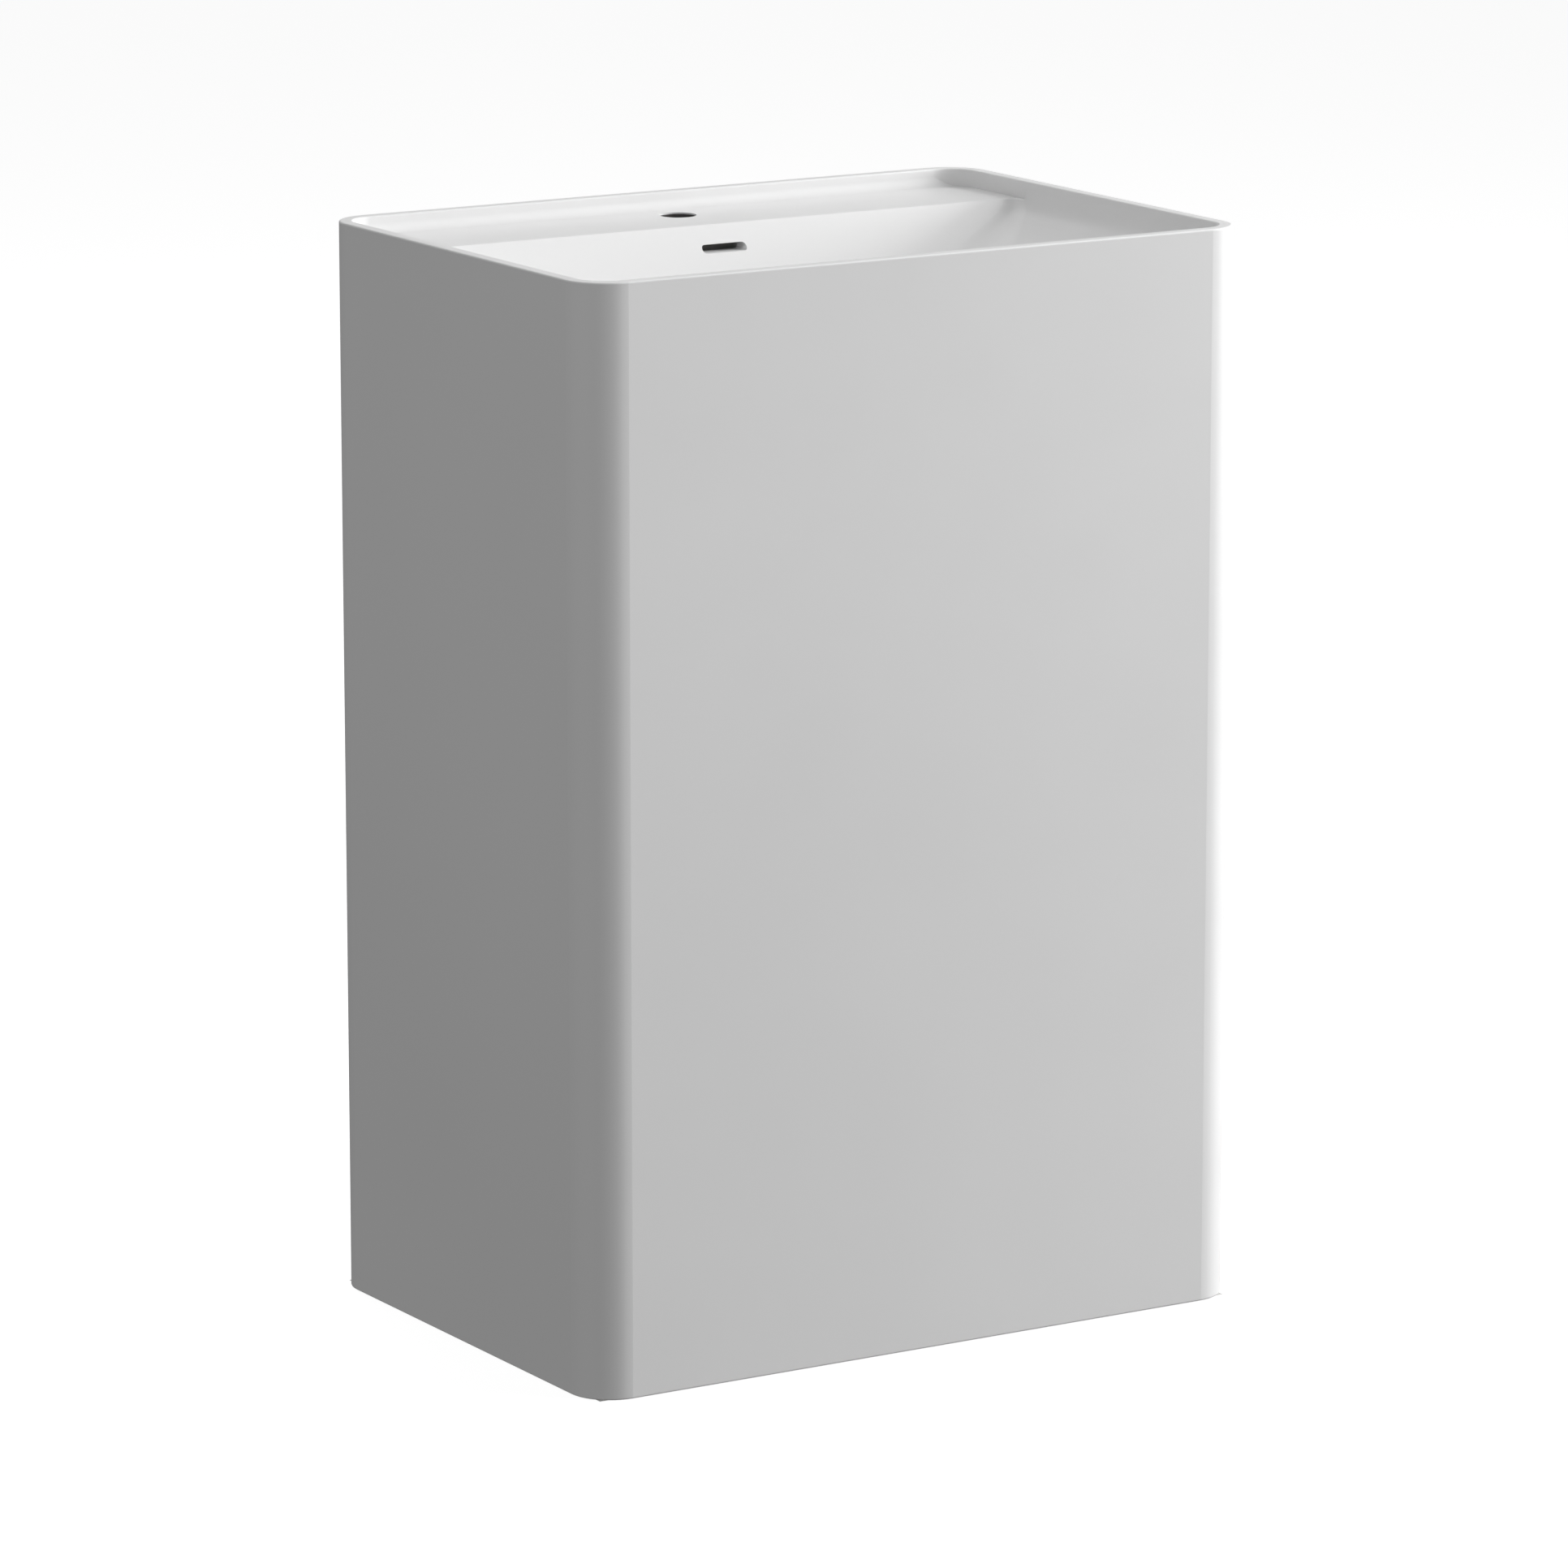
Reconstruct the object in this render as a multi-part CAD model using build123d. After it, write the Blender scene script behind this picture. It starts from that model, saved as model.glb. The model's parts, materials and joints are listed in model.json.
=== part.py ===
from build123d import *
import os
from math import cos, radians, sin, tan

# Freestanding pedestal wash basin, in millimetres.
# Origin: centre of the footprint, on the floor.  +Z is up and the front faces -Y.

# ---------------------------------------------------------------- driving dimensions
width = 600.0
depth = 418.0
height = 870.0
corner_r = 35.0
wall = 12.0
base_edge_r = 1.5

rim_width = 11.0
rim_outer_r = 1.5
rim_inner_r = 1.5
rim_wall = 6.0
seat_drop = 26.0

ledge_drop = 14.5
ledge_front_y = 107.0
ledge_edge_r = 1.5
ledge_cove_r = 8.0
tap_hole_r = 15.0
tap_hole_y = 165.0

bowl_depth = 125.0
bowl_floor_rise = 15.0
bowl_side_reach = 256.0
bowl_ramp_angle = 57.0
bowl_rear_slope = 0.84
bowl_shoulder_r = 25.0
bowl_shoulder_drop = 5.0
shoulder_steps = 5
shoulder_runout = 4.0
bowl_heel_r = 60.0
bowl_floor_angle = 84.0
bowl_floor_thickness = 15.0
ledge_corner_r = 12.0
corner_growth = 133.0
corner_share_limit = 0.485

overflow_length = 41.0
overflow_height = 6.5
overflow_z = 838.0

drain_y = -53.0
drain_hole_r = 22.5
drain_recess_r = 33.0
drain_recess_depth = 3.0

service_width = 360.0
service_low_z = 120.0
service_high_z = 680.0
service_corner_r = 25.0

pipe_r = 16.0
pipe_wall = 1.5
socket_clearance = 0.08
socket_wall = 2.92
trap_radius = 38.0
trap_centre_z = 505.0
trap_inlet_z = 600.0
trap_outlet_z = 535.0
elbow_radius = 28.0
elbow_start_z = 550.0
elbow_r = 18.0
arm_socket_end_y = 118.0
arm_start_y = 72.0
arm_end_y = 207.0
arm_bead_y = 134.5
arm_bead_width = 3.0
arm_bead_r = 17.5

bracket_y = 120.0
bracket_length = 60.0
bracket_leg = 50.0
bracket_thickness = 4.0
bracket_hole_pitch = 30.0
floor_hole_x = 255.0
floor_hole_r = 4.25
bracket_bolt_z = 32.0
bolt_r = 3.0
bolt_head_r = 5.0
bolt_head_height = 6.0
bolt_socket_r = 2.9
bolt_socket_depth = 3.0
bracket_hole_r = 3.3
washer_r = 6.2
washer_hole_r = 3.2
washer_thickness = 1.2
insert_r = 4.5
insert_length = 9.0

# ---------------------------------------------------------------- derived dimensions
half_width = width / 2
half_depth = depth / 2
ledge_z = height - ledge_drop
seat_z = height - seat_drop
floor_z = height - bowl_depth
underside_z = floor_z - bowl_floor_thickness
rim_half_x = half_width - rim_width
rim_half_y = half_depth - rim_width
rim_corner_r = corner_r - rim_width
seam_half_x = half_width - rim_wall
seam_half_y = half_depth - rim_wall
seam_corner_r = corner_r - rim_wall
inner_half_x = half_width - wall
inner_half_y = half_depth - wall
inner_corner_r = corner_r - wall
shoulder_z = height - bowl_shoulder_drop
ramp = radians(bowl_ramp_angle)
floor_slope = radians(bowl_floor_angle)
heel_z = floor_z + bowl_floor_rise
recess_z = floor_z - drain_recess_depth
socket_r = pipe_r + socket_clearance
socket_outer_r = socket_r + socket_wall
outlet_y = drain_y + 2 * trap_radius
elbow_axis_z = elbow_start_z + elbow_radius
elbow_end_y = outlet_y + elbow_radius

# outside of the bowl: an upright collar under the seat, then a taper to a flat underside
outer_top_x = 287.5
outer_top_front = -196.5
outer_top_rear = 112.0
outer_low_x = 138.0
outer_low_front = -142.0
outer_low_rear = 32.0
outer_collar_z = seat_z - 10.0
outer_front_r = 24.0
outer_rear_r = 28.0
outer_low_r = 75.0
outer_rear_slope = (outer_top_rear - outer_low_rear) / (seat_z - underside_z)
outer_collar_rear = outer_top_rear - outer_rear_slope * (seat_z - outer_collar_z)

# pipes, slip nuts and the trap's clean-out
running_clearance = 0.05
pipe_bore_r = pipe_r - pipe_wall
washer_height = 5.0
nut_grip = 12.0
nut_lip = 6.0
nut_lip_r = pipe_r + 0.6
nut_wall = 5.0
nut_rib_count = 12
nut_rib_depth = 3.0
nut_rib_width = 4.0
nut_rib_margin = 2.0
dip_z = trap_centre_z - trap_radius
boss_r = 13.0
plug_r = 9.5
plug_thread_length = 9.0
plug_head_height = 8.0
plug_slot_width = 3.0
plug_slot_depth = 3.0
gasket_thickness = 2.0
boss_low_z = dip_z - 30.0
plug_head_z = boss_low_z - gasket_thickness
trap_middle_y = drain_y + trap_radius
elbow_stub_length = 23.0
elbow_bore_length = 20.0
elbow_socket_start = 15.0

# drain stack, from the bowl's underside down
lower_gasket_z = underside_z - 5.0
collar_low_z = lower_gasket_z - 30.0
collar_gasket_z = collar_low_z - 3.0
slip_washer_z = collar_gasket_z - 1.5
lock_nut_z = slip_washer_z - 10.0
body_low_z = lock_nut_z - 16.5
flange_low_z = recess_z + 1.0
flange_high_z = flange_low_z + 2.5
flange_r = drain_recess_r - 1.0
flange_round = 1.0
body_r = 21.5
body_bore_r = 18.5
countersink = 3.5
countersink_depth = 3.0
window_width = 11.0
window_height = 12.0
flange_gasket_r = 31.0
lower_gasket_r = 34.0
lower_washer_r = 29.0
lock_nut_r = 31.0
lock_nut_chamfer = 1.0
collar_r = 31.0
collar_wall = 3.0
spout_root_r = 20.0
collar_axis_z = (lower_gasket_z + collar_low_z) / 2
cartridge_r = 7.0
cartridge_low_z = 686.0
cartridge_high_z = 712.0
stem_r = 4.0
stem_low_z = 701.0
spring_low_z = cartridge_low_z + 3.0
spider_low_z = 688.0
spider_height = 6.0
spider_wall = 2.0
spider_arm_width = 3.5
spring_wire = 0.9
spring_r = 3.0
spring_turns = 5
stopper_gap = 0.5
cap_r = 30.5
cap_edge = 2.5
cap_crown = 3.5
cap_boss_r = 12.0
seal_z = flange_high_z - 7.0
seal_height = 3.0
seal_r = body_bore_r - 0.3
tail_low_z = 545.0
tail_high_z = body_low_z + 18.0
tail_washer_z = body_low_z - 4.0
tail_nut_z = tail_washer_z - 3.0
tail_nut_top_z = body_low_z + 9.0
tail_nut_r = 28.0

# overflow spout and hose
hose_bore_r = 7.0
hose_r = 9.0
spout_bore_r = 5.5
spout_length = 16.0
hose_bend_r = 50.0
housing_width = 56.0
housing_low = 16.0
housing_high = 8.0
housing_height = 20.0
housing_wall = 2.0
housing_corner_r = 5.0
spout_height = 12.0
spout_root = 1.0
spout_inlet = 4.0
slot_cut = 40.0
clip_width = 8.0
clip_thickness = 1.0
clip_lug_length = 6.0
clip_lug_width = 7.0
clip_inset = 8.0
overflow_y = ledge_front_y - bowl_rear_slope * (ledge_z - overflow_z)
back_z = overflow_z - 1.0
back_y = outer_top_rear - outer_rear_slope * (seat_z - back_z)
back_plane = Plane(
    origin=(0, back_y, back_z), x_dir=(1, 0, 0), z_dir=(0, 1, -outer_rear_slope)
)


# ---------------------------------------------------------------- shared helpers
def outline(half_x, front, rear, front_r, rear_r, z):
    """Plan outline with round corners, lying at height z."""
    face = Pos(0, (front + rear) / 2) * Rectangle(2 * half_x, rear - front)
    face = fillet(face.vertices().group_by(Axis.Y)[0], front_r)
    face = fillet(face.vertices().group_by(Axis.Y)[-1], rear_r)
    return Pos(0, 0, z) * face


def prism(half_x, half_y, radius, low, high):
    """Upright block with round vertical corners, centred on the Z axis."""
    return extrude(outline(half_x, -half_y, half_y, radius, radius, low), high - low)


def ring(low, high, outer_r, bore_r=0.0, x=0.0, y=0.0):
    """Upright cylinder between two heights, with an optional through bore."""
    base = (Align.CENTER, Align.CENTER, Align.MIN)
    solid = Pos(x, y, low) * Cylinder(outer_r, high - low, align=base)
    if bore_r:
        solid -= Pos(x, y, low - 1) * Cylinder(bore_r, high - low + 2, align=base)
    return solid


def lay_back(solid, y, z):
    """Turn an upright solid so its axis runs along +Y, starting at (0, y, z)."""
    return Pos(0, y, z) * Rot(-90, 0, 0) * solid


def box_between(low, high):
    """Box between two corners."""
    size = [b - a for a, b in zip(low, high)]
    middle = [(a + b) / 2 for a, b in zip(low, high)]
    return Pos(*middle) * Box(*size)


def slip_nut(low, high, seal_depth, lip_r, y):
    """Ribbed plastic nut: its thread covers the socket and its lip holds a washer."""
    outer_r = socket_outer_r + nut_wall
    rib_height = high - low - 2 * nut_rib_margin
    nut = ring(low, high, outer_r, y=y)
    for i in range(nut_rib_count):
        rib = Pos(outer_r, 0, (low + high) / 2) * Box(nut_rib_depth, nut_rib_width, rib_height)
        nut += Pos(0, y, 0) * Rot(0, 0, 360 * i / nut_rib_count) * rib
    nut -= ring(low - 1, high - seal_depth, socket_outer_r, y=y)
    nut -= ring(low - 1, high + 1, lip_r, y=y)
    return nut


# ---------------------------------------------------------------- castings
def shoulder_profile():
    """Heights and inward distances of the bowl's side wall over its rounded shoulder.

    The wall starts upright, turns evenly, and the last point is already on the ramp.
    """
    points = []
    for step in range(shoulder_steps + 1):
        angle = ramp * step / shoulder_steps
        z = shoulder_z - bowl_shoulder_r * sin(angle)
        points.append((z, bowl_shoulder_r * (1 - cos(angle))))
    end_z, end_in = points[-1]
    points.append((end_z - shoulder_runout, end_in + shoulder_runout * tan(ramp)))
    return points


def ramp_profile():
    """The same for the straight ramp, from the end of the shoulder to the heel."""
    start_z, start_in = shoulder_profile()[-1]
    fall = start_z - heel_z
    return [(start_z, start_in), (heel_z, start_in + fall * tan(ramp))]


def floor_profile():
    """The same for the floor: the heel turns off the ramp, then it falls to the drain."""
    start_z, start_in = ramp_profile()[-1]
    points = []
    for share in (0, 1 / 3, 2 / 3, 1):
        angle = ramp + share * (floor_slope - ramp)
        z = start_z - bowl_heel_r * (sin(angle) - sin(ramp))
        points.append((z, start_in + bowl_heel_r * (cos(ramp) - cos(angle))))
    points.append((floor_z, bowl_side_reach))
    return points


def bowl_outline(z, inward):
    """Plan outline of the bowl's hollow where its side wall has come in so far."""
    share = inward / bowl_side_reach
    front = -rim_half_y + share * (rim_half_y + drain_y - drain_recess_r)
    rear = ledge_front_y - bowl_rear_slope * (ledge_z - z)
    if z < heel_z:
        heel_rear = ledge_front_y - bowl_rear_slope * (ledge_z - heel_z)
        heel_share = ramp_profile()[-1][1] / bowl_side_reach
        floor_share = (share - heel_share) / (1 - heel_share)
        rear = heel_rear + floor_share * (drain_y + drain_recess_r - heel_rear)
    limit = corner_share_limit * (rear - front)
    front_r = min(rim_corner_r + corner_growth * share, limit)
    rear_r = min(ledge_corner_r + corner_growth * share, limit)
    return outline(rim_half_x - inward, front, rear, front_r, rear_r, z)


def bowl_lofts():
    """The bowl's hollow, top to bottom: rounded shoulder, straight ramp, and floor."""
    shoulder = loft([bowl_outline(z, inward) for z, inward in shoulder_profile()])
    ramps = loft([bowl_outline(z, inward) for z, inward in ramp_profile()], ruled=True)
    floor = loft([bowl_outline(z, inward) for z, inward in floor_profile()], ruled=True)
    return [shoulder, ramps, floor]


def ledge_cutter():
    """The shallow recess behind the bowl that leaves the tap ledge standing."""
    recess = prism(rim_half_x, rim_half_y, rim_corner_r, ledge_z, height + 1)
    recess -= box_between(
        (-half_width, -half_depth, ledge_z - 1),
        (half_width, ledge_front_y - ledge_corner_r, height + 2),
    )
    cove_y = rim_half_y - ledge_cove_r
    cove_z = ledge_z + ledge_cove_r
    cove = box_between((-half_width, cove_y, ledge_z), (half_width, half_depth, cove_z))
    cove -= Pos(0, cove_y, cove_z) * Rot(0, 90, 0) * Cylinder(ledge_cove_r, 2 * width)
    return recess - cove


def bowl_outside():
    """The bowl's body below the seat: a short collar, then a taper down to the drain."""
    radii = (outer_front_r, outer_rear_r)
    low_radii = (outer_low_r, outer_low_r)
    top = outline(outer_top_x, outer_top_front, outer_top_rear, *radii, seat_z)
    collar = outline(outer_top_x, outer_top_front, outer_collar_rear, *radii, outer_collar_z)
    bottom = outline(outer_low_x, outer_low_front, outer_low_rear, *low_radii, underside_z)
    return loft([top, collar, bottom], ruled=True)


def basin_bowl():
    """Cast bowl with its upstand, tap ledge, overflow slot and drain recess."""
    body = prism(seam_half_x, seam_half_y, seam_corner_r, seat_z, height)
    body += bowl_outside()
    body -= prism(rim_half_x, rim_half_y, rim_corner_r, shoulder_z, height + 1)
    inner_edges = body.faces().sort_by(Axis.Z)[-1].inner_wires()[0].edges()
    body = fillet(inner_edges, rim_inner_r)
    for hollow in bowl_lofts():
        body -= hollow
    body -= ledge_cutter()
    body -= ring(seat_z - 1, height, tap_hole_r, y=tap_hole_y)
    body -= ring(recess_z, floor_z + 1, drain_recess_r, y=drain_y)
    body -= ring(underside_z - 1, floor_z, drain_hole_r, y=drain_y)
    slot = SlotOverall(overflow_length, overflow_height)
    slot_plane = Plane((0, overflow_y, overflow_z), x_dir=(1, 0, 0), z_dir=(0, -1, 0))
    body -= extrude(slot_plane * slot, slot_cut, both=True)
    front_edge = [e for e in body.edges() if is_ledge_edge(e)]
    return fillet(front_edge, ledge_edge_r)


def is_ledge_edge(edge):
    """True for the long edge where the tap ledge drops into the bowl."""
    middle = edge @ 0.5
    on_ledge = abs(middle.Z - ledge_z) < 0.01 and abs(middle.Y - ledge_front_y) < 0.5
    return on_ledge and edge.length > width / 2


def pedestal_shell():
    """Cast column: open underneath, with a rebate for the bowl and a service opening."""
    body = prism(half_width, half_depth, corner_r, 0, height)
    top_edges = body.edges().group_by(Axis.Z)[-1]
    body = fillet(top_edges, rim_outer_r)
    body = fillet(body.edges().group_by(Axis.Z)[0], base_edge_r)
    body -= prism(inner_half_x, inner_half_y, inner_corner_r, -1, seat_z + 1)
    body -= prism(seam_half_x, seam_half_y, seam_corner_r, seat_z, height + 1)
    middle_z = (service_low_z + service_high_z) / 2
    opening = RectangleRounded(service_width, service_high_z - service_low_z, service_corner_r)
    rear = Plane(origin=(0, half_depth, middle_z), x_dir=(1, 0, 0), z_dir=(0, -1, 0))
    body -= extrude(rear * opening, 2 * wall, both=True)
    for x, y in bolt_places():
        body -= across(insert_r, inner_half_x, inner_half_x + insert_length, x, y)
    return body


# ---------------------------------------------------------------- floor brackets
def bolt_places():
    """Side (-1 left, +1 right) and Y of each bracket bolt."""
    half_pitch = bracket_hole_pitch / 2
    return [(side, bracket_y + dy) for side in (-1, 1) for dy in (-half_pitch, half_pitch)]


def across(radius, near_x, far_x, side, y):
    """Cylinder along X at a bracket bolt, between two distances from the centre plane."""
    middle = Pos(side * (near_x + far_x) / 2, y, bracket_bolt_z)
    return middle * Rot(0, 90, 0) * Cylinder(radius, far_x - near_x)


def floor_bracket(side):
    """Steel angle inside the column, with two floor holes and two wall holes."""
    low_y = bracket_y - bracket_length / 2
    high_y = bracket_y + bracket_length / 2
    inner_x = inner_half_x - bracket_leg
    upright_x = inner_half_x - bracket_thickness
    foot = box_between((inner_x, low_y, 0), (inner_half_x, high_y, bracket_thickness))
    upright = box_between((upright_x, low_y, 0), (inner_half_x, high_y, bracket_leg))
    body = foot + upright
    corners = body.edges().filter_by(Axis.X) + body.edges().filter_by(Axis.Z)
    outer = [e for e in corners if is_bracket_corner(e, inner_x)]
    body = fillet(outer, bracket_thickness)
    for _, y in bolt_places()[:2]:
        body -= ring(-1, bracket_thickness + 1, floor_hole_r, x=floor_hole_x, y=y)
        body -= across(bracket_hole_r, upright_x - 1, inner_half_x + 1, 1, y)
    return body if side > 0 else mirror(body, Plane.YZ)


def is_bracket_corner(edge, inner_x):
    """True for the free corners of the bracket's two legs."""
    middle = edge @ 0.5
    foot_corner = abs(middle.X - inner_x) < 0.01
    top_corner = abs(middle.Z - bracket_leg) < 0.01
    return (foot_corner or top_corner) and edge.length < 2 * bracket_thickness


def threaded_inserts():
    """Brass inserts cast into the column's side walls for the bracket bolts."""
    far_x = inner_half_x + insert_length
    shells = [across(insert_r, inner_half_x, far_x, side, y) for side, y in bolt_places()]
    bores = [across(bolt_r, inner_half_x - 1, far_x + 1, side, y) for side, y in bolt_places()]
    return Compound([shell - bore for shell, bore in zip(shells, bores)])


def bracket_washers():
    """Flat washers under the bracket bolts' heads."""
    far_x = inner_half_x - bracket_thickness
    near_x = far_x - washer_thickness
    discs = [across(washer_r, near_x, far_x, side, y) for side, y in bolt_places()]
    holes = [across(washer_hole_r, near_x - 1, far_x + 1, side, y) for side, y in bolt_places()]
    return Compound([disc - hole for disc, hole in zip(discs, holes)])


def bracket_bolts():
    """Socket-head bolts that hold the brackets to the column."""
    head_x = inner_half_x - bracket_thickness - washer_thickness
    face_x = head_x - bolt_head_height
    bolts = []
    for side, y in bolt_places():
        bolt = across(bolt_r, head_x, inner_half_x + insert_length - 1, side, y)
        bolt += across(bolt_head_r, face_x, head_x, side, y)
        socket = Pos(side * face_x, y, bracket_bolt_z) * Rot(0, 90, 0)
        bolt -= extrude(socket * RegularPolygon(bolt_socket_r, 6), bolt_socket_depth, both=True)
        bolts.append(bolt)
    return Compound(bolts)


# ---------------------------------------------------------------- overflow
def overflow_gasket():
    """Foam gasket between the bowl's rear wall and the overflow housing."""
    frame = housing_rectangle(0) - housing_rectangle(housing_wall)
    return extrude(back_plane * frame, gasket_thickness)


def housing_rectangle(inset):
    """Outline of the overflow housing on the wall, drawn in by an inset."""
    across_size = housing_width - 2 * inset
    down_size = housing_low + housing_high - 2 * inset
    middle = (housing_low - housing_high) / 2
    return Pos(0, middle) * RectangleRounded(across_size, down_size, housing_corner_r - inset)


def overflow_housing():
    """Moulded box that catches the overflow water, with a spout for the hose."""
    base = back_plane.offset(gasket_thickness)
    outer = extrude(base * housing_rectangle(0), housing_height)
    inner = extrude(base * housing_rectangle(housing_wall), housing_height - housing_wall)
    spout_end = housing_low + spout_length
    spout = spout_on_housing(hose_bore_r, housing_low - spout_root, spout_end)
    bore = spout_on_housing(spout_bore_r, housing_low - spout_inlet, spout_end + 1)
    return outer + spout - inner - bore


def spout_on_housing(radius, start, end):
    """Cylinder down the back of the bowl's wall, from the housing's centre outward."""
    base = (Align.CENTER, Align.CENTER, Align.MIN)
    cylinder = Cylinder(radius, end - start, align=base)
    along_wall = back_plane.location * Pos(0, start, spout_height) * Rot(-90, 0, 0)
    return along_wall * cylinder


def hose_route():
    """Centre line of the overflow hose: down behind the bowl, then across to the drain."""
    start = back_plane.from_local_coords((0, housing_low + 1, spout_height))
    down = back_plane.y_dir
    fall = (start.Z - collar_axis_z) / -down.Z
    corner = start + down * fall
    end = Vector(0, drain_y + collar_r + 1, collar_axis_z)
    return [start, corner, end]


def overflow_hose():
    """Flexible hose from the overflow housing to the drain's collar."""
    path = FilletPolyline(*hose_route(), radius=hose_bend_r)
    start = Plane(origin=path @ 0, z_dir=path % 0)
    outer = sweep(start * Circle(hose_r), path=path)
    bore = sweep(start * Circle(hose_bore_r), path=path)
    return outer - bore


def hose_clips():
    """Two band clips that hold the hose on its spouts."""
    clip = Cylinder(hose_r + clip_thickness, clip_width)
    lug = Box(clip_lug_length, clip_lug_width, clip_width - 2 * clip_thickness)
    clip += Pos(hose_r + clip_lug_length / 2, 0, 0) * lug
    clip -= Cylinder(hose_r, clip_width + 1)
    start, corner, end = hose_route()
    upper_middle = start + (corner - start).normalized() * clip_inset
    lower_middle = end + Vector(0, clip_inset, 0)
    upper = Plane(upper_middle, x_dir=(1, 0, 0), z_dir=corner - start).location * clip
    lower = Plane(lower_middle, x_dir=(1, 0, 0), z_dir=(0, 1, 0)).location * clip
    return Compound([upper, lower])


# ---------------------------------------------------------------- drain
def drain_ring(low, high, outer_r, bore_r=0.0):
    """Ring or rod centred on the drain."""
    return ring(low, high, outer_r, bore_r, y=drain_y)


def drain_body():
    """Brass waste: flange, slotted overflow windows, spider and threaded tail."""
    body = ring(body_low_z, flange_low_z, body_r, y=drain_y)
    body += ring(flange_low_z, flange_high_z, flange_r, y=drain_y)
    body = fillet(body.edges().group_by(Axis.Z)[-1], flange_round)
    body -= ring(tail_high_z, flange_high_z + 1, body_bore_r, y=drain_y)
    body -= ring(body_low_z - 1, tail_high_z, pipe_r, y=drain_y)
    seat = Cone(body_bore_r, body_bore_r + countersink, countersink_depth)
    body -= Pos(0, drain_y, flange_high_z - countersink_depth / 2) * seat
    window = Box(2 * body_r + 2, window_width, window_height)
    for turn in (0, 90):
        body -= Pos(0, drain_y, collar_axis_z) * Rot(0, 0, turn) * window
    hub_r = cartridge_r + spider_wall
    body += ring(spider_low_z, spider_low_z + spider_height, hub_r, y=drain_y)
    arm_length = body_bore_r - cartridge_r + 1
    arm = Box(arm_length, spider_arm_width, spider_height)
    arm = Pos(cartridge_r + arm_length / 2, 0, spider_height / 2) * arm
    for turn in (30, 150, 270):
        body += Pos(0, drain_y, spider_low_z) * Rot(0, 0, turn) * arm
    return body - ring(spider_low_z - 1, flange_low_z, cartridge_r, y=drain_y)


def drain_lock_nut():
    """Brass hexagon nut that clamps the drain stack to the bowl."""
    hexagon = Pos(0, drain_y, lock_nut_z) * RegularPolygon(lock_nut_r, 6)
    nut = extrude(hexagon, slip_washer_z - lock_nut_z)
    nut = chamfer(nut.edges().filter_by(Axis.Z), lock_nut_chamfer)
    return nut - ring(lock_nut_z - 1, slip_washer_z + 1, body_r, y=drain_y)


def overflow_collar():
    """Moulded ring round the drain's windows, with a spout for the overflow hose."""
    collar = ring(collar_low_z, lower_gasket_z, collar_r, y=drain_y)
    spout_end = collar_r + spout_length
    collar += lay_back(ring(spout_root_r, spout_end, hose_bore_r), drain_y, collar_axis_z)
    inside_low_z = collar_low_z + collar_wall
    inside_high_z = lower_gasket_z - collar_wall
    collar -= ring(inside_low_z, inside_high_z, collar_r - collar_wall, y=drain_y)
    collar -= lay_back(ring(spout_root_r, spout_end + 1, spout_bore_r), drain_y, collar_axis_z)
    return collar - ring(collar_low_z - 1, lower_gasket_z + 1, body_r, y=drain_y)


def stopper_cap():
    """Domed chrome cap with the boss that holds the seal and the stem."""
    cap_z = flange_high_z + stopper_gap
    cap = ring(cap_z, cap_z + cap_edge, cap_r, y=drain_y)
    dome_r = (cap_r**2 + cap_crown**2) / (2 * cap_crown)
    ball = Pos(0, drain_y, cap_z + cap_edge + cap_crown - dome_r) * Sphere(dome_r)
    cap += ball & ring(cap_z + cap_edge, cap_z + cap_edge + cap_crown + 1, cap_r, y=drain_y)
    cap += ring(seal_z, cap_z, cartridge_r, y=drain_y)
    cap += ring(seal_z + seal_height, cap_z, cap_boss_r, y=drain_y)
    return cap - ring(seal_z - 1, cap_z, stem_r, y=drain_y)


def click_spring():
    """Compression spring that pushes the stopper's stem up."""
    rise = stem_low_z - spring_low_z - spring_wire
    low = spring_low_z + spring_wire / 2
    coil = Helix(pitch=rise / spring_turns, height=rise, radius=spring_r)
    wire = Plane(origin=coil @ 0, z_dir=coil % 0) * Circle(spring_wire / 2)
    return Pos(0, drain_y, low) * sweep(wire, path=coil, is_frenet=True)


def click_cartridge():
    """Closed sleeve in the drain's spider that guides the stem and holds the spring."""
    sleeve = ring(cartridge_low_z, cartridge_high_z, cartridge_r, y=drain_y)
    bore = ring(spring_low_z, cartridge_high_z + 1, stem_r + running_clearance, y=drain_y)
    return sleeve - bore


# ---------------------------------------------------------------- waste pipe and trap
def tailpiece_nut():
    """Hexagon nut that clamps the tailpiece and its washer to the drain."""
    hexagon = Pos(0, drain_y, tail_nut_z) * RegularPolygon(tail_nut_r, 6)
    nut = extrude(hexagon, tail_nut_top_z - tail_nut_z)
    nut -= ring(tail_washer_z, tail_nut_top_z + 1, body_r, y=drain_y)
    return nut - ring(tail_nut_z - 1, tail_nut_top_z, pipe_r, y=drain_y)


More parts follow.
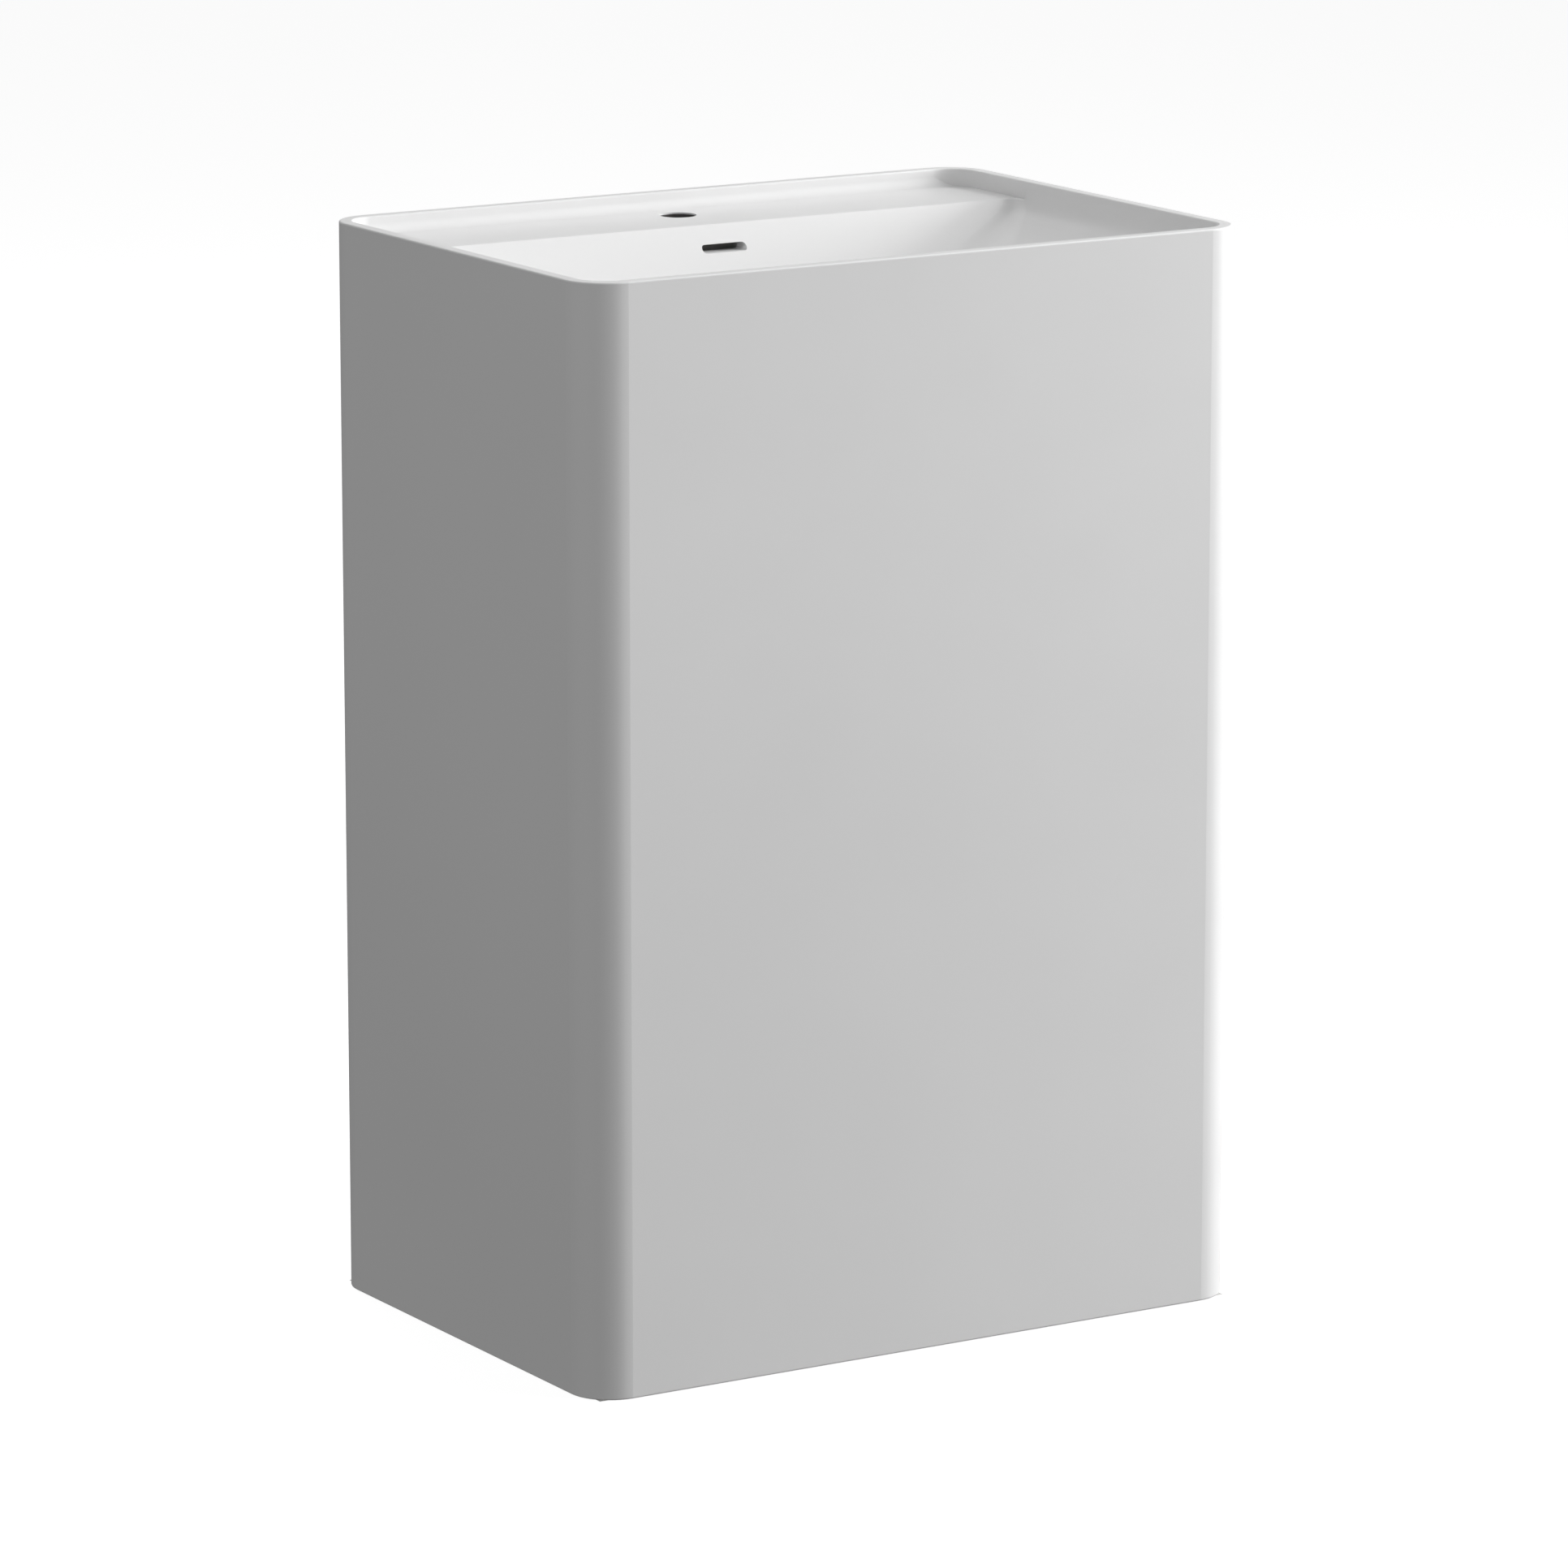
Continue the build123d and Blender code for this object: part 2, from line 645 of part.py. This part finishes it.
def trap_bend():
    """Inlet socket, U bend, outlet socket and the clean-out boss, as one moulding."""
    reach = trap_radius + 2 * socket_outer_r
    bend = Pos(0, trap_middle_y, trap_centre_z) * Rot(0, 90, 0)
    low_half = box_between(
        (-reach, trap_middle_y - reach, trap_centre_z - reach),
        (reach, trap_middle_y + reach, trap_centre_z),
    )
    outer = (bend * Torus(trap_radius, socket_outer_r)) & low_half
    inner = (bend * Torus(trap_radius, pipe_r)) & low_half
    outer += ring(trap_centre_z, trap_inlet_z, socket_outer_r, y=drain_y)
    outer += ring(trap_centre_z, trap_outlet_z, socket_outer_r, y=outlet_y)
    outer += ring(boss_low_z, dip_z, boss_r, y=trap_middle_y)
    inner += ring(trap_centre_z, trap_inlet_z + 1, socket_r, y=drain_y)
    inner += ring(trap_centre_z, trap_outlet_z + 1, socket_r, y=outlet_y)
    inner += ring(boss_low_z - 1, dip_z, plug_r, y=trap_middle_y)
    return outer - inner


def cleanout_plug():
    """Screw plug under the U bend, with a coin slot."""
    low = plug_head_z - plug_head_height
    head_r = boss_r + 1
    plug = ring(low, plug_head_z, head_r, y=trap_middle_y)
    plug += ring(plug_head_z, boss_low_z + plug_thread_length, plug_r, y=trap_middle_y)
    slot = Box(2 * plug_r, plug_slot_width, 2 * plug_slot_depth)
    return plug - Pos(0, trap_middle_y, low) * slot


def trap_elbow():
    """Outlet elbow: a stub in the bend, a quarter turn and a socket for the wall arm."""
    reach = elbow_radius + 2 * elbow_r
    centre = Pos(0, elbow_end_y, elbow_start_z) * Rot(0, 90, 0)
    quarter = box_between(
        (-reach, elbow_end_y - reach, elbow_start_z),
        (reach, elbow_end_y, elbow_start_z + reach),
    )
    outer = (centre * Torus(elbow_radius, elbow_r)) & quarter
    inner = (centre * Torus(elbow_radius, pipe_bore_r)) & quarter
    stub_z = trap_outlet_z - elbow_stub_length
    outer += ring(stub_z, elbow_start_z, pipe_r, y=outlet_y)
    inner += ring(stub_z - 1, elbow_start_z, pipe_bore_r, y=outlet_y)
    socket_length = arm_socket_end_y - elbow_end_y
    outer += lay_back(ring(0, socket_length, socket_outer_r), elbow_end_y, elbow_axis_z)
    inner += lay_back(ring(0, elbow_bore_length, pipe_bore_r), elbow_end_y, elbow_axis_z)
    socket = ring(elbow_socket_start, socket_length + 1, socket_r)
    inner += lay_back(socket, elbow_end_y, elbow_axis_z)
    return outer - inner


def trap_arm():
    """Straight pipe to the wall, with a raised bead that stops the wall's connector."""
    pipe = ring(0, arm_end_y - arm_start_y, pipe_r, pipe_bore_r)
    bead_start = arm_bead_y - arm_start_y
    pipe += ring(bead_start, bead_start + arm_bead_width, arm_bead_r, pipe_bore_r)
    return lay_back(pipe, arm_start_y, elbow_axis_z)


def slip_washer(z, y):
    """Rubber washer on the end of an upright socket."""
    return ring(z, z + washer_height, socket_outer_r, socket_r, y=y)


def trap_nut(z, y):
    """Slip nut on an upright socket that ends at height z."""
    return slip_nut(z - nut_grip, z + washer_height + nut_lip, nut_lip, nut_lip_r, y)


def outlet_washer_at_wall():
    """Rubber washer that seals the wall arm in the elbow's socket."""
    washer = ring(0, washer_height, socket_outer_r, socket_r)
    return lay_back(washer, arm_socket_end_y, elbow_axis_z)


def outlet_nut_at_wall():
    """Slip nut on the elbow's socket."""
    nut = slip_nut(-nut_grip, washer_height + nut_lip, nut_lip, nut_lip_r, 0)
    return lay_back(nut, arm_socket_end_y, elbow_axis_z)


# ---------------------------------------------------------------- all the pieces
def all_parts():
    """Every piece by its name."""
    return {
        "pedestal_shell": pedestal_shell(),
        "basin_bowl": basin_bowl(),
        "floor_bracket_left": floor_bracket(-1),
        "floor_bracket_right": floor_bracket(1),
        "threaded_inserts": threaded_inserts(),
        "bracket_bolts": bracket_bolts(),
        "bracket_washers": bracket_washers(),
        "overflow_gasket": overflow_gasket(),
        "overflow_housing": overflow_housing(),
        "overflow_hose": overflow_hose(),
        "hose_clips": hose_clips(),
        "drain_body": drain_body(),
        "flange_gasket": drain_ring(recess_z, flange_low_z, flange_gasket_r, drain_hole_r),
        "lower_gasket": drain_ring(lower_gasket_z, underside_z, lower_gasket_r, body_r),
        "overflow_collar": overflow_collar(),
        "collar_gasket": drain_ring(collar_gasket_z, collar_low_z, lower_washer_r, body_r),
        "slip_washer": drain_ring(slip_washer_z, collar_gasket_z, lower_washer_r, body_r),
        "drain_lock_nut": drain_lock_nut(),
        "click_cartridge": click_cartridge(),
        "click_spring": click_spring(),
        "stopper_cap": stopper_cap(),
        "stopper_seal": drain_ring(seal_z, seal_z + seal_height, seal_r, cartridge_r),
        "stopper_stem": drain_ring(stem_low_z, flange_high_z + stopper_gap, stem_r),
        "tailpiece": drain_ring(tail_low_z, tail_high_z, pipe_r, pipe_bore_r),
        "tailpiece_washer": drain_ring(tail_washer_z, body_low_z, body_r, pipe_r),
        "tailpiece_nut": tailpiece_nut(),
        "trap_bend": trap_bend(),
        "trap_inlet_washer": slip_washer(trap_inlet_z, drain_y),
        "trap_inlet_nut": trap_nut(trap_inlet_z, drain_y),
        "cleanout_seal": ring(plug_head_z, boss_low_z, boss_r, plug_r, y=trap_middle_y),
        "cleanout_plug": cleanout_plug(),
        "trap_union_washer": slip_washer(trap_outlet_z, outlet_y),
        "trap_union_nut": trap_nut(trap_outlet_z, outlet_y),
        "trap_elbow": trap_elbow(),
        "trap_outlet_washer": outlet_washer_at_wall(),
        "trap_outlet_nut": outlet_nut_at_wall(),
        "trap_arm": trap_arm(),
    }


os.makedirs("parts", exist_ok=True)
for name, shape in all_parts().items():
    export_step(shape, f"parts/{name}.step")
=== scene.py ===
"""Studio scene of the pedestal sink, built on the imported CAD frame. Lengths in metres."""

import json
from math import cos, radians, sin

import bpy
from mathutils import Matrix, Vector

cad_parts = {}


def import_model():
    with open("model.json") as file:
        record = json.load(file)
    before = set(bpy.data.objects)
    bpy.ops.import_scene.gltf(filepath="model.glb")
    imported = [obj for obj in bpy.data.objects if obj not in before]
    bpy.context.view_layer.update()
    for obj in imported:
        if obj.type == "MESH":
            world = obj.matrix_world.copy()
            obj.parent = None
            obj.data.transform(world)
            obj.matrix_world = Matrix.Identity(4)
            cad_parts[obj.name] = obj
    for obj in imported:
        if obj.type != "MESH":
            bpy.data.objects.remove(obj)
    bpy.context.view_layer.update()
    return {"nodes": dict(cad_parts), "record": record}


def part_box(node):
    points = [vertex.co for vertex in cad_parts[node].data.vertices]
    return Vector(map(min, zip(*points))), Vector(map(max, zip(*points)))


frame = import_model()

# ---------------------------------------------------------------- settings
CAMERA_AZIMUTH = radians(31.448)
CAMERA_ELEVATION = radians(12.153)
CAMERA_DISTANCE = 6.389
CAMERA_LENS_MM = 183.6
AIM_HEIGHT = 0.435
AIM_RIGHT = -0.0007
AIM_UP = -0.0174
CAMERA_FAR_CLIP = 200

FLOOR_HALF = 30.0
FLOOR_DROP = 0.0005
INNER_FLOOR_LIFT = 0.0002
INNER_FLOOR_SHARE = 0.97
WORLD_STRENGTH = 0.216

STONE_COLOUR = (0.80, 0.80, 0.80)
# painted shade inside the tap bore: the dark colour given to the bore's wall, and how far below
# the ledge top that colour starts
BORE_PAINTED_SHADE_COLOUR = (0.07, 0.068, 0.066)
BORE_SHADE_START_BELOW_TOP = 0.0013
# the tap mount's point lies this far above the underside of the ledge
TAP_MOUNT_BELOW = 0.006
BORE_MARGIN = 0.0002
NOISE_LOW = 0.3
NOISE_HIGH = 0.7
FLOOR_COLOUR = (0.30, 0.30, 0.30)
FLOOR_GLOW = 0.88
INNER_FLOOR_COLOUR = (0.55, 0.55, 0.54)

# softboxes round the column: azimuth from the front towards the right, elevation,
# distance, size and power
LIGHT_AIM = (0, 0, 0.6)
SOFTBOXES = {
    "key_right": (75, 12, 5.0, 2.0, 191),
    "key_front_right": (50, 12, 5.0, 2.0, 82),
    "high_front_right": (50, 40, 5.0, 2.0, 36),
    "high_right": (75, 40, 5.0, 2.0, 39),
    "high_rear_right": (100, 40, 5.0, 2.0, 31),
    "high_back": (170, 50, 4.5, 2.5, 41),
    "high_left": (-60, 50, 5.0, 2.5, 46),
}


# ---------------------------------------------------------------- node helpers
class Material:
    """A new material with its Principled shader and a few short ways to add nodes."""

    def __init__(self, name, colour, roughness, metallic=0.0):
        self.made = bpy.data.materials.new(name)
        self.made.use_nodes = True
        self.tree = self.made.node_tree
        self.shader = self.tree.nodes["Principled BSDF"]
        self.shader.inputs["Base Color"].default_value = (*colour, 1)
        self.shader.inputs["Roughness"].default_value = roughness
        self.shader.inputs["Metallic"].default_value = metallic
        self.places = self.tree.nodes.new("ShaderNodeTexCoord").outputs["Object"]

    def set(self, name, value):
        self.shader.inputs[name].default_value = value

    def stretched(self, scale):
        """Object coordinates stretched by a scale on each axis."""
        mapping = self.tree.nodes.new("ShaderNodeMapping")
        mapping.inputs["Scale"].default_value = scale
        self.tree.links.new(self.places, mapping.inputs["Vector"])
        return mapping.outputs["Vector"]

    def noise(self, scale, detail=4.0, places=None):
        node = self.tree.nodes.new("ShaderNodeTexNoise")
        node.inputs["Scale"].default_value = scale
        node.inputs["Detail"].default_value = detail
        self.tree.links.new(places or self.places, node.inputs["Vector"])
        return node.outputs["Fac"]

    def spread(self, source, low, high):
        """A noise signal's useful range moved to the range low-high."""
        node = self.tree.nodes.new("ShaderNodeMapRange")
        node.inputs["To Min"].default_value = low
        node.inputs["To Max"].default_value = high
        node.inputs["From Min"].default_value = NOISE_LOW
        node.inputs["From Max"].default_value = NOISE_HIGH
        self.tree.links.new(source, node.inputs["Value"])
        return node.outputs["Result"]

    def vary_roughness(self, source, low, high):
        self.tree.links.new(self.spread(source, low, high), self.shader.inputs["Roughness"])

    def vary_colour(self, source, dark, light):
        """Mix two colours by a signal and send it to the base colour."""
        node = self.tree.nodes.new("ShaderNodeMix")
        node.data_type = "RGBA"
        node.inputs["A"].default_value = (*dark, 1)
        node.inputs["B"].default_value = (*light, 1)
        self.tree.links.new(self.spread(source, 0.0, 1.0), node.inputs["Factor"])
        self.tree.links.new(node.outputs["Result"], self.shader.inputs["Base Color"])

    def math(self, operation, first, second):
        """One Math node on two signals or numbers."""
        node = self.tree.nodes.new("ShaderNodeMath")
        node.operation = operation
        for socket, value in zip(node.inputs, (first, second)):
            if isinstance(value, (int, float)):
                socket.default_value = value
            else:
                self.tree.links.new(value, socket)
        return node.outputs["Value"]

    def inside_bore(self, centre, radius, top):
        """1 within an upright bore below a height, else 0."""
        split = self.tree.nodes.new("ShaderNodeSeparateXYZ")
        self.tree.links.new(self.places, split.inputs["Vector"])
        x = self.math("SUBTRACT", split.outputs["X"], centre[0])
        y = self.math("SUBTRACT", split.outputs["Y"], centre[1])
        squares = self.math("ADD", self.math("POWER", x, 2.0), self.math("POWER", y, 2.0))
        near = self.math("LESS_THAN", squares, radius * radius)
        return self.math("MULTIPLY", near, self.math("LESS_THAN", split.outputs["Z"], top))

    def repaint(self, mask, colour):
        """Change the base colour where a mask is 1."""
        socket = self.shader.inputs["Base Color"]
        node = self.tree.nodes.new("ShaderNodeMix")
        node.data_type = "RGBA"
        self.tree.links.new(socket.links[0].from_socket, node.inputs["A"])
        node.inputs["B"].default_value = (*colour, 1)
        self.tree.links.new(mask, node.inputs["Factor"])
        self.tree.links.new(node.outputs["Result"], socket)

    def bump(self, *layers):
        """Bump from (signal, distance in metres) layers, one on top of the other."""
        normal = None
        for source, distance in layers:
            node = self.tree.nodes.new("ShaderNodeBump")
            node.inputs["Strength"].default_value = 1.0
            node.inputs["Distance"].default_value = distance
            self.tree.links.new(source, node.inputs["Height"])
            if normal:
                self.tree.links.new(normal, node.inputs["Normal"])
            normal = node.outputs["Normal"]
        self.tree.links.new(normal, self.shader.inputs["Normal"])


def shade(colour, factor):
    """A colour made lighter or darker."""
    return tuple(min(1.0, channel * factor) for channel in colour)


# ---------------------------------------------------------------- materials
def cast_stone():
    """Matte cast stone: nearly even white, with a faint orange peel and painted shade on the
    tap bore's wall.
    """
    m = Material("cast_stone", STONE_COLOUR, 0.42)
    broad = m.noise(3.0, 2.0)
    m.vary_colour(broad, shade(STONE_COLOUR, 0.985), shade(STONE_COLOUR, 1.01))
    m.vary_roughness(m.noise(14.0), 0.38, 0.5)
    m.bump((m.noise(45.0, 2.0), 0.00004), (m.noise(900.0, 2.0), 0.000012))
    m.set("Specular IOR Level", 0.35)
    tap = next(mount for mount in frame["record"]["mounts"] if mount["name"] == "tap_hole")
    ledge_top = tap["pos_m"][2] + tap["dims"]["length_mm"] / 1000 - TAP_MOUNT_BELOW
    radius = tap["dims"]["r_mm"] / 1000 + BORE_MARGIN
    # painted shade: the tap bore's wall below a thin light lip is coloured dark, standing in
    # for the shade inside the hole
    painted_bore_shade = m.inside_bore(tap["pos_m"], radius, ledge_top - BORE_SHADE_START_BELOW_TOP)
    m.repaint(painted_bore_shade, BORE_PAINTED_SHADE_COLOUR)
    return m.made


def metal(name, colour, roughness, spread, grain=(1.0, 1.0, 1.0), scale=300.0, depth=0.00001):
    """Metal whose roughness varies with smudges and whose bump has a machined grain."""
    m = Material(name, colour, roughness, 1.0)
    lay = m.noise(scale, 3.0, m.stretched(grain))
    m.vary_colour(m.noise(30.0), shade(colour, 0.93), shade(colour, 1.04))
    m.vary_roughness(m.noise(60.0), roughness - spread, roughness + spread)
    m.bump((lay, depth))
    return m.made


def plastic(name, colour, roughness, scale, depth):
    """Moulded plastic or rubber with a fine moulded skin."""
    m = Material(name, colour, roughness)
    m.vary_colour(m.noise(25.0), shade(colour, 0.96), shade(colour, 1.03))
    m.vary_roughness(m.noise(80.0), roughness - 0.06, roughness + 0.08)
    m.bump((m.noise(scale, 3.0), depth))
    return m.made


materials = {
    "cast_stone": cast_stone(),
    "chrome": metal("chrome", (0.82, 0.83, 0.85), 0.08, 0.03),
    "brass": metal("brass", (0.78, 0.58, 0.30), 0.30, 0.06, (1, 1, 9), 240.0, 0.00003),
    "stainless": metal("stainless", (0.60, 0.60, 0.61), 0.34, 0.07, (1, 14, 1), 260.0, 0.00003),
    "white_plastic": plastic("white_plastic", (0.80, 0.80, 0.78), 0.36, 420.0, 0.00003),
    "hose_plastic": plastic("hose_plastic", (0.42, 0.43, 0.45), 0.5, 260.0, 0.00006),
    "rubber": plastic("rubber", (0.035, 0.035, 0.037), 0.72, 700.0, 0.00006),
}
slot_of = {part["node"]: part["material_slot"] for part in frame["record"]["subparts"]}
for node, thing in frame["nodes"].items():
    thing.data.materials.clear()
    thing.data.materials.append(materials[slot_of[node]])


# ---------------------------------------------------------------- floor and light
def slab(name, low, high, z, colour, glow):
    """Flat rectangle of plain studio floor."""
    corners = [(low[0], low[1]), (high[0], low[1]), (high[0], high[1]), (low[0], high[1])]
    mesh = bpy.data.meshes.new(name)
    mesh.from_pydata([(x, y, z) for x, y in corners], [], [(0, 1, 2, 3)])
    thing = bpy.data.objects.new(name, mesh)
    bpy.context.scene.collection.objects.link(thing)
    m = Material(name, colour, 0.9)
    m.vary_roughness(m.noise(2.0), 0.85, 0.95)
    m.set("Specular IOR Level", 0.0)
    m.set("Emission Color", (1, 1, 1, 1))
    m.set("Emission Strength", glow)
    mesh.materials.append(m.made)
    return thing


def floors():
    """Pale floor that fills the view, and the shaded floor inside the open column."""
    low, high = (-FLOOR_HALF, -FLOOR_HALF), (FLOOR_HALF, FLOOR_HALF)
    far = slab("studio_floor", low, high, -FLOOR_DROP, FLOOR_COLOUR, FLOOR_GLOW)
    far.visible_diffuse = False
    far.visible_glossy = False
    low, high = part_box("pedestal_shell")
    low, high = low.xy * INNER_FLOOR_SHARE, high.xy * INNER_FLOOR_SHARE
    slab("floor_inside", low, high, INNER_FLOOR_LIFT, INNER_FLOOR_COLOUR, 0.0)


def softbox(name, azimuth, elevation, distance, size, watts):
    """Square area light on a sphere round the column, turned towards it."""
    turn, rise = radians(azimuth), radians(elevation)
    way = Vector((sin(turn) * cos(rise), -cos(turn) * cos(rise), sin(rise)))
    light = bpy.data.lights.new(name, "AREA")
    light.shape = "SQUARE"
    light.size = size
    light.energy = watts
    thing = bpy.data.objects.new(name, light)
    thing.location = Vector(LIGHT_AIM) + way * distance
    thing.rotation_euler = (-way).to_track_quat("-Z", "Y").to_euler()
    bpy.context.scene.collection.objects.link(thing)


def camera():
    """Long lens at the viewing angle, aimed near the middle of the column."""
    ground = Vector((sin(CAMERA_AZIMUTH), cos(CAMERA_AZIMUTH), 0))
    forward = ground * cos(CAMERA_ELEVATION) - Vector((0, 0, sin(CAMERA_ELEVATION)))
    right = forward.cross(Vector((0, 0, 1))).normalized()
    up = right.cross(forward)
    aim = Vector((0, 0, AIM_HEIGHT)) + right * AIM_RIGHT + up * AIM_UP
    data = bpy.data.cameras.new("camera")
    data.lens = CAMERA_LENS_MM
    data.clip_end = CAMERA_FAR_CLIP
    thing = bpy.data.objects.new("camera", data)
    thing.location = aim - forward * CAMERA_DISTANCE
    thing.rotation_euler = forward.to_track_quat("-Z", "Y").to_euler()
    bpy.context.scene.collection.objects.link(thing)
    bpy.context.scene.camera = thing


def world():
    """Even white surround."""
    made = bpy.data.worlds.new("studio")
    made.use_nodes = True
    background = made.node_tree.nodes["Background"]
    background.inputs["Color"].default_value = (1, 1, 1, 1)
    background.inputs["Strength"].default_value = WORLD_STRENGTH
    bpy.context.scene.world = made


floors()
for name, settings in SOFTBOXES.items():
    softbox(name, *settings)
world()
camera()
bpy.context.scene.view_settings.view_transform = "Standard"
